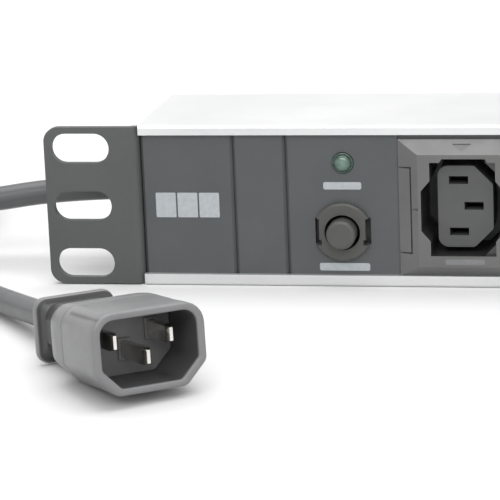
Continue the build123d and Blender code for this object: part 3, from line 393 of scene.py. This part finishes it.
MATERIALS = {
    "aluminium": anodised(),
    "black_steel": powder_coat(),
    "zinc_steel": plain_metal("zinc_steel", (0.55, 0.56, 0.55), (0.68, 0.68, 0.66), (0.25, 0.42)),
    "panel_plastic": moulded(
        "panel_plastic", (0.056, 0.061, 0.064), (0.068, 0.073, 0.076), (0.46, 0.56), 0.30, 0.22, 0.02, 16.0
    ),
    # outlet plastic with painted shade in the recesses, over the frames and in the arrow marks
    "outlet_plastic": moulded(
        "outlet_plastic", (0.082, 0.082, 0.081), (0.094, 0.094, 0.093), (0.30, 0.38), 0.30, 0.22, 0.02, 12.0,
        shade=outlet_shade, Specular_IOR_Level=0.75,
    ),
    "core_plastic": moulded(
        "core_plastic", (0.062, 0.064, 0.064), (0.075, 0.077, 0.076), (0.42, 0.52), 0.28, 0.22, 0.02, 8.0
    ),
    "button_plastic": moulded(
        "button_plastic", (0.052, 0.053, 0.048), (0.062, 0.063, 0.058), (0.42, 0.55), 0.25, 0.25, 0.02, 6.0
    ),
    "housing_plastic": moulded(
        "housing_plastic", (0.020, 0.020, 0.021), (0.030, 0.030, 0.031), (0.35, 0.5), 0.3, 0.2, 0.02, 8.0
    ),
    "green_lens": lamp_green(),
    "board": circuit_board(),
    "resistor": moulded("resistor", (0.55, 0.42, 0.26), (0.66, 0.52, 0.34), (0.35, 0.5), 0.5, 0.2, 0.02, 2.0),
    "brass": plain_metal("brass", (0.66, 0.47, 0.20), (0.80, 0.60, 0.30), (0.22, 0.40), (0.05, 1.0, 1.0)),
    # painted shade: brass darkened to near black for the busbars, which sit in shade behind the outlet slots
    "brass_painted_shade": plain_metal(
        "brass_painted_shade", (0.055, 0.040, 0.020), (0.080, 0.060, 0.032), (0.4, 0.6), (0.05, 1.0, 1.0)
    ),
    "brown_wire": striped_wire("brown_wire", (0.13, 0.05, 0.02), (0.14, 0.055, 0.024), 6.0),
    "blue_wire": striped_wire("blue_wire", (0.02, 0.09, 0.40), (0.022, 0.10, 0.42), 6.0),
    "earth_wire": striped_wire("earth_wire", (0.10, 0.36, 0.06), (0.70, 0.58, 0.05), 5.0),
    "cord_rubber": moulded(
        "cord_rubber", (0.070, 0.072, 0.074), (0.086, 0.088, 0.090), (0.30, 0.38), 0.5, 0.10, 0.015, 12.0
    ),
    # plug rubber with painted shade in the cavity and behind the shoulder
    "plug_rubber": moulded(
        "plug_rubber", (0.136, 0.137, 0.140), (0.154, 0.155, 0.158), (0.32, 0.40), 0.25, 0.10, 0.012, 7.0,
        shade=plug_shade, Specular_IOR_Level=0.6,
    ),
    "plug_insert": moulded(
        "plug_insert", (0.130, 0.130, 0.132), (0.150, 0.150, 0.152), (0.40, 0.5), 0.22, 0.2, 0.02, 6.0
    ),
    "nickel": plain_metal(
        "nickel", (0.66, 0.64, 0.60), (0.76, 0.74, 0.70), (0.16, 0.28), (1.0, 0.06, 1.0), 0.12, 0.12, 5.0
    ),
    "tie": hook_tape(),
    "print": moulded("print", (0.29, 0.315, 0.33), (0.37, 0.395, 0.41), (0.5, 0.65), 0.18, 0.2, 0.01, 1.2),
    "print_dim": moulded(
        "print_dim", (0.140, 0.142, 0.145), (0.168, 0.170, 0.173), (0.5, 0.65), 0.18, 0.2, 0.01, 1.2
    ),
}

# ---------------------------------------------------------------- the CAD nodes that stay
NODE_MATERIALS = {
    "profile": "aluminium",
    "bracket_left": "black_steel",
    "bracket_right": "black_steel",
    "bracket_screws_left": "zinc_steel",
    "bracket_screws_right": "zinc_steel",
    "end_panel_left": "panel_plastic",
    "spacer_panel": "panel_plastic",
    "control_panel": "panel_plastic",
    "end_panel_right": "panel_plastic",
    "led_leads": "zinc_steel",
    "led_board": "board",
    "led_resistor": "resistor",
    "breaker_collar": "button_plastic",
    "breaker_housing": "housing_plastic",
    "breaker_back_cover": "housing_plastic",
    "breaker_fixed_contact": "brass",
    "breaker_arm_terminal": "brass",
    "breaker_pivot_pin": "zinc_steel",
    "contact_arm": "brass",
    "reset_button": "button_plastic",
    "button_spring": "zinc_steel",
    # busbars: brass with painted shade
    "line_busbar": "brass_painted_shade",
    "neutral_busbar": "brass_painted_shade",
    "earth_busbar": "brass_painted_shade",
    "busbar_tray": "housing_plastic",
    "earth_ring_terminal": "brass",
    "earth_bond_screw": "zinc_steel",
    "line_wire": "brown_wire",
    "neutral_wire": "blue_wire",
    "earth_wire": "earth_wire",
    "gland_nut": "housing_plastic",
}
for number in range(1, 11):
    NODE_MATERIALS[f"outlet_frame_{number:02d}"] = "outlet_plastic"
    NODE_MATERIALS[f"outlet_core_{number:02d}"] = "core_plastic"
for name, finish in NODE_MATERIALS.items():
    node = frame["nodes"][name]
    node.data.materials.clear()
    node.data.materials.append(MATERIALS[finish])


# ---------------------------------------------------------------- mesh helpers
def finish_piece(obj, material, body="strip", replaces=(), slot=None):
    """Material, body and bookkeeping of a new piece."""
    obj.data.materials.clear()
    obj.data.materials.append(MATERIALS[material])
    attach(obj, body)
    if replaces:
        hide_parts(*replaces)
    return obj


def mesh_piece(name, points, faces, material, smooth=32.0, **how):
    """Mesh from points in mm, smooth except over edges sharper than smooth degrees."""
    mesh = bpy.data.meshes.new(name)
    mesh.from_pydata([[c * MM for c in p] for p in points], [], faces)
    bm = bmesh.new()
    bm.from_mesh(mesh)
    bmesh.ops.recalc_face_normals(bm, faces=bm.faces)
    bm.to_mesh(mesh)
    bm.free()
    mesh.polygons.foreach_set("use_smooth", [True] * len(mesh.polygons))
    mesh.set_sharp_from_angle(angle=math.radians(smooth))
    obj = bpy.data.objects.new(name, mesh)
    bpy.context.scene.collection.objects.link(obj)
    return finish_piece(obj, material, **how)


def skin(rings, closed=False):
    """(points, faces) over rings of equally many points; open ends get a flat cap."""
    count = len(rings[0])
    points = [p for ring in rings for p in ring]
    faces = []
    pairs = list(zip(range(len(rings)), range(1, len(rings))))
    if closed:
        pairs.append((len(rings) - 1, 0))
    for a, b in pairs:
        for i in range(count):
            j = (i + 1) % count
            faces.append((a * count + i, a * count + j, b * count + j, b * count + i))
    if not closed:
        faces.append(tuple(range(count)))
        faces.append(tuple(range(len(points) - count, len(points))))
    return points, faces


def joined(parts):
    """Several (points, faces) as one."""
    points, faces = [], []
    for more_points, more_faces in parts:
        shift = len(points)
        points += more_points
        faces += [tuple(i + shift for i in f) for f in more_faces]
    return points, faces


def turned(profile, place, segments=64, closed=False):
    """Profile of (distance along, radius) turned about a line; place(along, u, v) gives the point."""
    rings = []
    for along, radius in profile:
        ring = []
        for k in range(segments):
            angle = 2 * math.pi * k / segments
            ring.append(place(along, radius * math.cos(angle), radius * math.sin(angle)))
        rings.append(ring)
    return skin(rings, closed)


def rounded_steps(corners, radius, steps=4):
    """Profile through corners, each inner corner rounded by an arc-like curve of about radius."""
    made = [corners[0]]
    for before, corner, after in zip(corners, corners[1:], corners[2:]):
        c = Vector(corner)
        a = Vector(before) - c
        b = Vector(after) - c
        cut = min(radius, 0.45 * a.length, 0.45 * b.length)
        start = c + a.normalized() * cut
        end = c + b.normalized() * cut
        for k in range(steps + 1):
            t = k / steps
            made.append(tuple(start * (1 - t) ** 2 + c * 2 * t * (1 - t) + end * t * t))
    made.append(corners[-1])
    return made


# ---------------------------------------------------------------- plug
def plug_point(x, y, z):
    return tuple(plug_frame @ Vector((x, y, z)))


def plug_section(half, top, bottom, corner, cut, cut_corner, steps=6):
    """Section seen from the open face: round upper corners and cut lower corners, from upper right round."""
    corners = [
        ((half, top), corner), ((half, bottom + cut), cut_corner), ((half - cut, bottom), cut_corner),
        ((-half + cut, bottom), cut_corner), ((-half, bottom + cut), cut_corner), ((-half, top), corner),
    ]
    made = []
    for k, (corner_point, radius) in enumerate(corners):
        c = Vector(corner_point)
        a = (Vector(corners[k - 1][0]) - c).normalized()
        b = (Vector(corners[(k + 1) % 6][0]) - c).normalized()
        half_angle = a.angle(b) / 2
        reach = radius / math.tan(half_angle)
        centre = c + (a + b).normalized() * (radius / math.sin(half_angle))
        start = c + a * reach - centre
        sweep = start.angle_signed(c + b * reach - centre) if radius > 0 else 0.0
        for step in range(steps + 1):
            spun = Matrix.Rotation(-sweep * step / steps, 2) @ start
            made.append(tuple(centre + spun))
    return made


def plug_ring(y, half, top, bottom, corner, cut, cut_corner):
    return [plug_point(x, y, z) for x, z in plug_section(half, top, bottom, corner, cut, cut_corner)]


CUT_GROWTH = 0.586


def grown(section, by):
    """Section (half, top, bottom, corner, cut, cut_corner) offset outwards; a 45-degree cut grows less."""
    half, top, bottom, corner, cut, cut_corner = section
    rounds = max(corner + by, 0.3), cut + CUT_GROWTH * by, max(cut_corner + by, 0.2)
    return (half + by, top + by, bottom - by, *rounds)


SHROUD = (PLUG_X, PLUG_Z, -PLUG_Z, 5.0, 5.4, 2.6)
CAVITY = (PLUG_X - 1.9, PLUG_Z - 1.6, -PLUG_Z + 1.6, 3.4, 4.7, 1.5)
SHOULDER = 11.0
NECK = (8.6, 6.9, -6.9, 4.4, 2.58, 4.4)
FLANGE = (10.6, 8.0, -8.2, 3.0, 1.76, 3.0)


def between(first, second, share):
    return tuple(a + (b - a) * share for a, b in zip(first, second))


def make_plug_body():
    """One moulding: cavity, rim, shroud with a seam, round shoulder, neck and grip flange."""
    rings = [
        plug_ring(15.5, *CAVITY),
        plug_ring(0.9, *CAVITY),
    ]
    for y, by in ((0.45, 0.05), (0.15, 0.16), (0.0, 0.38)):
        rings.append(plug_ring(y, *grown(CAVITY, by)))
    for y, by in ((0.0, -0.45), (0.12, -0.1), (0.38, 0.12), (0.75, 0.2), (3.0, 0.18), (8.0, 0.0)):
        rings.append(plug_ring(y, *grown(SHROUD, by)))
    for y, by in ((18.25, 0.0), (18.4, -0.03), (18.5, -0.13), (18.7, -0.13), (18.8, -0.04)):
        rings.append(plug_ring(y, *grown(SHROUD, by)))
    wide = grown(SHROUD, -0.03)
    # the shoulder: a fuller curve across than upright, where it is a quarter of an ellipse
    for step in range(17):
        share = math.sin(math.pi / 2 * step / 16)
        across = 1 - (1 - share ** 3) ** (1 / 3)
        upright = 1 - (1 - share ** 2) ** (1 / 2)
        half = wide[0] + (NECK[0] - wide[0]) * across
        top, bottom = (wide[k] + (NECK[k] - wide[k]) * upright for k in (1, 2))
        rings.append(plug_ring(19.0 + SHOULDER * share, half, top, bottom, *between(wide, NECK, across)[3:]))
    rings.append(plug_ring(31.5, *grown(NECK, -0.12)))
    rings.append(plug_ring(36.0, *grown(NECK, -0.25)))
    rings.append(plug_ring(41.9, *grown(NECK, -0.1)))
    for y, by in ((42.5, -1.6), (42.7, -0.9), (42.75, -0.5), (42.95, -0.15), (43.3, 0.0)):
        rings.append(plug_ring(y, *grown(FLANGE, by)))
    for y, by in ((44.4, 0.0), (44.75, -0.15), (44.95, -0.5), (45.0, -0.9)):
        rings.append(plug_ring(y, *grown(FLANGE, by)))
    points, faces = skin(rings)
    return mesh_piece(
        "plug_moulding", points, faces, "plug_rubber", 40.0, replaces=["plug_body"], slot="plug_rubber"
    )


def make_plug_insert():
    """Pin carrier at the cavity's floor, with a low collar round each pin."""
    rings = [plug_ring(15.9, *grown(CAVITY, -0.04))]
    for y, by in ((15.35, -0.04), (15.2, -0.12), (15.12, -0.35)):
        rings.append(plug_ring(y, *grown(CAVITY, by)))
    parts = [skin(rings)]
    for u, w in PIN_PLACES:
        collar = []
        for y, half_u, half_w in (
            (15.3, 1.75, 2.75), (14.75, 1.7, 2.7), (14.6, 1.5, 2.5), (14.6, 1.05, 2.05), (15.3, 1.03, 2.03),
        ):
            collar.append(box_ring(y, u, w, half_u, half_w, 0.35))
        parts.append(skin(collar))
    points, faces = joined(parts)
    return mesh_piece(
        "plug_pin_carrier", points, faces, "plug_insert", replaces=["plug_insert"], slot="plug_insert"
    )


def box_ring(y, u, w, half_u, half_w, corner, steps=4):
    """Rounded rectangle round (u, w) in the plug's frame."""
    ring = []
    corner = min(corner, half_u * 0.98, half_w * 0.98)
    for k, (su, sw) in enumerate(((1, 1), (-1, 1), (-1, -1), (1, -1))):
        for step in range(steps + 1):
            angle = math.pi / 2 * (k + step / steps)
            ring.append(plug_point(
                u + su * (half_u - corner) + corner * math.cos(angle),
                y,
                w + sw * (half_w - corner) + corner * math.sin(angle),
            ))
    return ring


def make_plug_pins():
    """Three nickel-plated blades with bevelled tips."""
    parts = []
    for (u, w), tip in zip(PIN_PLACES, PIN_TIPS):
        rings = []
        for y, side, end in (
            (23.0, 0.0, 0.0), (tip + 1.3, 0.0, 0.0), (tip + 1.1, 0.04, 0.02),
            (tip + 0.12, 0.52, 0.30), (tip, 0.60, 0.40),
        ):
            rings.append(box_ring(y, u, w, 1.0 - side, 2.0 - end, 0.16))
        parts.append(skin(rings))
    points, faces = joined(parts)
    return mesh_piece("plug_blades", points, faces, "nickel", replaces=["plug_pins"], slot="nickel")


def make_plug_relief():
    """Ringed bush where the cord enters the plug."""
    profile = rounded_steps([
        (44.6, 0.01), (44.6, 5.3), (45.9, 5.1), (46.0, 3.55), (46.8, 3.55), (46.9, 4.65), (48.0, 4.55),
        (48.1, 3.5), (48.9, 3.5), (49.0, 4.3), (50.05, 4.1), (50.05, 0.01),
    ], 0.25, 3)
    points, faces = turned(profile, lambda y, u, w: plug_point(u, y, w))
    return mesh_piece(
        "plug_relief_bush", points, faces, "plug_rubber", replaces=["plug_strain_relief"], slot="plug_rubber"
    )


# ---------------------------------------------------------------- gland on the left ear
def make_gland():
    """Bush with a round flange and a grooved taper round the cord."""
    flange_out = LEG_OUT - 1.8
    bore, tip_radius, root_growth, groove_half = 3.45, 4.5, 1.5, 0.45
    taper = flange_out - GLAND_TIP_X
    corners = [
        (LEG_IN + 5.0, bore), (LEG_IN + 5.0, 6.0), (LEG_OUT, 6.0), (LEG_OUT, 8.0),
        (flange_out, 8.0), (flange_out, 6.2),
    ]
    for k in (3, 2, 1):
        x = GLAND_TIP_X + k * taper / 4
        radius = tip_radius + root_growth * k / 4
        corners += [
            (x + groove_half, radius + 0.15), (x + groove_half, radius - 0.9),
            (x - groove_half, radius - 0.9), (x - groove_half, radius - 0.1),
        ]
    corners += [(GLAND_TIP_X, tip_radius), (GLAND_TIP_X, bore)]
    profile = rounded_steps(corners, 0.3, 3)
    points, faces = turned(
        profile, lambda x, u, v: (x, CORD_Y + u, CORD_Z + v), closed=True
    )
    return mesh_piece("gland_bush", points, faces, "housing_plastic", replaces=["cord_gland"])


# ---------------------------------------------------------------- lamp
def make_lamp():
    """Domed lamp in a low ring."""
    corners = [
        (-12.0, 0.01), (-12.0, 2.5), (-16.7, 2.5), (-16.7, 2.8), (PANEL_FACE, 2.8), (PANEL_FACE - 0.35, 2.84),
        (PANEL_FACE - 0.45, 2.5),
    ]
    profile = rounded_steps(corners, 0.15, 3)
    for step in range(1, 13):
        angle = math.pi / 2 * step / 12
        profile.append((PANEL_FACE - 0.45 - 1.5 * math.sin(angle), max(2.5 * math.cos(angle), 0.01)))
    points, faces = turned(profile, lambda y, u, v: (LED_X + u, y, LED_Z + v))
    return mesh_piece("lamp_dome", points, faces, "green_lens", replaces=["led_lens"], slot="green_lens")


# ---------------------------------------------------------------- prints
PRINT_BACK = PANEL_FACE
PRINT_THICK = 0.05


def print_piece(name, shapes, face_y, material="print"):
    """Flat shapes, each a list of (x, z), as thin inked plates on the plane y = face_y."""
    parts = []
    for shape in shapes:
        parts.append(skin([[(x, y, z) for x, z in shape] for y in (face_y, face_y - PRINT_THICK)]))
    points, faces = joined(parts)
    return mesh_piece(name, points, faces, material, 30.0)


def rounded_box(x0, x1, z0, z1, corner, steps=4):
    """Outline of a rounded rectangle."""
    made = []
    left, right, low, high = x0 + corner, x1 - corner, z0 + corner, z1 - corner
    for k, (x, z) in enumerate(((right, high), (left, high), (left, low), (right, low))):
        for step in range(steps + 1):
            angle = math.pi / 2 * (k + step / steps)
            made.append((x + corner * math.cos(angle), z + corner * math.sin(angle)))
    return made


def print_bar(name, middle, width, low, high):
    """Plain bar that stands where a function label would be."""
    half = width / 2
    print_piece(name, [rounded_box(LEFT + middle - half, LEFT + middle + half, low, high, 0.5)], PRINT_BACK)


def make_blank_label():
    """Blank write-on label: three pale fields with bare panel between them, nothing on them."""
    left, right, low, high = LEFT + 30.0, LEFT + 47.4, 18.6, 25.4
    gap = 0.45
    field = (right - left - 2 * gap) / 3
    fields = []
    for k in range(3):
        start = left + k * (field + gap)
        fields.append(rounded_box(start, start + field, low, high, 0.3))
    print_piece("blank_label", fields, PRINT_BACK)


# ---------------------------------------------------------------- cord, coil and tie
STRIP_ROUTE = [(-208.3, 3.5, 22.0), (-239.3, 3.5, 22.0), (-271.3, 2.5, 16.8), (-300.0, -1.0, 17.1)]
PLUG_ROUTE = [
    plug_point(0.0, 50.05, 0.0),
    (-245.1, -53.4, 3.9), (-265.0, -31.0, 3.6), (-278.0, -3.0, 3.9), (-282.5, 26.0, 3.9),
]
POINTS_A_TURN = 16
TURN_START, SLOT_END = 270.0, -67.5
LIFT = 0.8
# degrees before a slot's end at which the cord starts and ends its move to the next slot
MOVE_OUT, FIRST_MOVE_OUT, MOVE_DOWN = (67.5, 22.5), (247.5, 135.0), (45.0, 0.0)


def eased(value, start, end):
    """0 before start, 1 after end, straight in between."""
    return min(1.0, max(0.0, (value - start) / (end - start)))


def coil_points():
    """Control points of the put-away turns: one on top, three in the middle and three below."""
    low, middle, high = COIL_LAYERS
    inner, mean, outer = COIL_RADII
    slots = [
        (mean, high), (outer, middle), (mean, middle), (inner, middle),
        (inner, low), (mean, low), (outer, low),
    ]
    step = 360.0 / POINTS_A_TURN
    swell = 1 / (0.75 + 0.25 * math.cos(math.radians(step)))
    total = TURN_START + 6 * 360.0
    made = []
    for k in range(int(round(total / step)) + 1):
        travelled = k * step
        angle = TURN_START - travelled
        slot = min(6, max(0, math.ceil((SLOT_END - angle) / 360.0 + 1e-9)))
        left = angle + 360.0 * slot - SLOT_END
        radius, height = slots[slot]
        if slot < 6:
            next_radius, next_height = slots[slot + 1]
            out = eased(left, *(MOVE_OUT if slot else FIRST_MOVE_OUT))
            radius += (next_radius - radius) * out
            height += (next_height - height) * eased(left, *MOVE_DOWN)
        lift = LIFT * max(0.0, -math.cos(math.radians(angle))) ** 4
        made.append((
            COIL_X + radius * swell * math.cos(math.radians(angle)),
            COIL_Y + radius * swell * math.sin(math.radians(angle)),
            height + lift,
        ))
    return made


def make_cord():
    """The whole cord on one NURBS spline: gland, coil, plug."""
    curve = bpy.data.curves.new("mains_cord", "CURVE")
    curve.dimensions = "3D"
    curve.resolution_u = 8
    curve.bevel_depth = CORD_RADIUS * MM
    curve.bevel_resolution = 8
    curve.use_fill_caps = True
    spline = curve.splines.new("NURBS")
    points = STRIP_ROUTE + coil_points() + PLUG_ROUTE[::-1]
    spline.points.add(len(points) - 1)
    for target, point in zip(spline.points, points):
        target.co = (*[c * MM for c in point], 1.0)
    spline.order_u = 3
    spline.use_endpoint_u = True
    obj = bpy.data.objects.new("mains_cord", curve)
    bpy.context.scene.collection.objects.link(obj)
    return finish_piece(obj, "cord_rubber", replaces=["cord", "cord_coil"], slot="cord_rubber")


def make_tie():
    """Hook-and-loop strap round the turns, its end lapped over the top."""
    x, half = COIL_X - COIL_RADII[1], 10.35
    low, high = 0.0, COIL_LAYERS[2] + 3.4 + LIFT
    thick, width = 0.85, 7.0
    lap_half, lap_top_half = 3.45, 3.3
    outline = []
    corner = 2.6
    centres = [
        (x + half - corner, high - corner), (x - half + corner, high - corner),
        (x - half + corner, low + thick + corner), (x + half - corner, low + thick + corner),
    ]
    for k, (cx, cz) in enumerate(centres):
        for step in range(7):
            angle = math.pi / 2 * (k + step / 6)
            outline.append((cx, cz, math.cos(angle), math.sin(angle)))
    rings = []
    for cx, cz, ux, uz in outline:
        ring = []
        for y, r in (
            (-0.5, 0.12), (-0.46, 0.85), (-0.42, 1.0), (0.42, 1.0),
            (0.46, 0.85), (0.5, 0.12), (0.47, 0.0), (-0.47, 0.0),
        ):
            reach = corner + thick * r
            ring.append((cx + ux * reach, COIL_Y + y * width, cz + uz * reach))
        rings.append(ring)
    strap = skin(rings, closed=True)
    lap = []
    for k in range(9):
        px = x + 7.5 - 15.0 * k / 8
        rise = 0.7 if 0 < k < 8 else 0.45
        pz = high + thick
        lap.append([
            (px, COIL_Y - lap_half, pz - 0.1), (px, COIL_Y - lap_half, pz + rise - 0.12),
            (px, COIL_Y - lap_top_half, pz + rise), (px, COIL_Y + lap_top_half, pz + rise),
            (px, COIL_Y + lap_half, pz + rise - 0.12), (px, COIL_Y + lap_half, pz - 0.1),
        ])
    points, faces = joined([strap, skin(lap)])
    return mesh_piece("cord_strap", points, faces, "tie", replaces=["cord_tie"], slot="tie")


plug_pieces = [make_plug_body(), make_plug_insert(), make_plug_pins(), make_plug_relief()]
make_gland()
make_lamp()
make_blank_label()
print_bar("lamp_bar", middle=80.9, width=10.2, low=26.4, high=28.4)
print_bar("breaker_bar", middle=81.0, width=13.6, low=4.1, high=6.2)
for number, x in enumerate(OUTLET_X, 1):
    mark = rounded_box(x0=x - 4.7, x1=x + 5.7, z0=6.5, z1=8.0, corner=0.35)
    print_piece(f"outlet_mark_{number:02d}", [mark], PLATEAU_FACE, "print_dim")

cord = make_cord()
strap = make_tie()

# ---------------------------------------------------------------- floor, light and camera
FLOOR_RADIUS = 2.6
FLOOR_SIDES = 128
floor_mesh = bpy.data.meshes.new("floor")
floor_ring = [2 * math.pi * k / FLOOR_SIDES for k in range(FLOOR_SIDES)]
floor_edge = [(FLOOR_RADIUS * math.cos(a), FLOOR_RADIUS * math.sin(a), 0) for a in floor_ring]
floor_mesh.from_pydata(floor_edge, [], [tuple(range(FLOOR_SIDES))])
floor = bpy.data.objects.new("floor", floor_mesh)
bpy.context.scene.collection.objects.link(floor)
paper = Surface("floor_paper", Roughness=0.9, Specular_IOR_Level=0.2)
near = paper.ramp(paper.noise(400.0, 2.0), [(0.3, grey(0.605)), (0.7, grey(0.615))])
reach = paper.node("ShaderNodeVectorMath", {"operation": "LENGTH"})
paper.tree.links.new(paper.place, reach.inputs[0])
whiter = paper.spread(reach.outputs["Value"], 0.0, 1.0, 0.6, 1.7)
paper.link(paper.mixed(whiter, near, (*grey(0.97), 1.0)), "Base Color")
floor_mesh.materials.append(paper.material)

# (sine of the height above the horizon, level); the first level holds below the horizon too
SKY = ((0.0, 1.15), (0.33, 1.15), (0.47, 0.60), (0.85, 0.60), (1.0, 0.9))

scene = bpy.context.scene
scene.view_settings.view_transform = "Standard"
world = bpy.data.worlds.new("studio")
scene.world = world
world.use_nodes = True
world_nodes, world_links = world.node_tree.nodes, world.node_tree.links
sky_place = world_nodes.new("ShaderNodeTexCoord")
sky_split = world_nodes.new("ShaderNodeSeparateXYZ")
sky_ramp = world_nodes.new("ShaderNodeValToRGB")
world_links.new(sky_place.outputs["Generated"], sky_split.inputs[0])
world_links.new(sky_split.outputs["Z"], sky_ramp.inputs[0])
world_links.new(sky_ramp.outputs["Color"], world_nodes["Background"].inputs["Color"])
while len(sky_ramp.color_ramp.elements) < len(SKY):
    sky_ramp.color_ramp.elements.new(0.5)
for stop, (height, level) in zip(sky_ramp.color_ramp.elements, SKY):
    stop.position = height
    stop.color = (level, level, level, 1.0)
world_nodes["Background"].inputs["Strength"].default_value = 1.0


def softbox(name, place, target, size, power):
    """Rectangular area light aimed at target."""
    lamp = bpy.data.lights.new(name, "AREA")
    lamp.shape = "RECTANGLE"
    lamp.size, lamp.size_y = size
    lamp.energy = power
    obj = bpy.data.objects.new(name, lamp)
    obj.location = place
    obj.rotation_euler = (Vector(target) - Vector(place)).to_track_quat("-Z", "Y").to_euler()
    scene.collection.objects.link(obj)


softbox("softbox_top", place=(-0.1, 0.15, 1.5), target=(-0.1, 0.0, 0.0), size=(2.0, 1.6), power=29.0)
softbox("softbox_front", place=(-0.28, -1.3, 1.02), target=(-0.13, -0.02, 0.04), size=(1.1, 0.5), power=8.5)
softbox("softbox_key", place=(0.60, -1.25, 1.05), target=(-0.15, -0.05, 0.02), size=(1.2, 1.0), power=7.0)

CAMERA_PLACE = (-0.05845, -0.67394, 0.17906)
YAW, PITCH, ROLL = 0.1924, -0.2487, -0.0410
camera_data = bpy.data.cameras.new("camera")
camera_data.lens = 184.14
camera_data.sensor_width = 36.0
camera_data.clip_start, camera_data.clip_end = 0.01, 100.0
camera = bpy.data.objects.new("camera", camera_data)
aim = Matrix.Rotation(YAW, 3, "Z") @ Matrix.Rotation(PITCH, 3, "X")
right, ahead, up = aim.col[0], aim.col[1], aim.col[2]
across = math.cos(ROLL) * right + math.sin(ROLL) * up
upright = -math.sin(ROLL) * right + math.cos(ROLL) * up
facing = Matrix((across, upright, -ahead)).transposed().to_4x4()
camera.matrix_world = Matrix.Translation(CAMERA_PLACE) @ facing
scene.collection.objects.link(camera)
scene.camera = camera
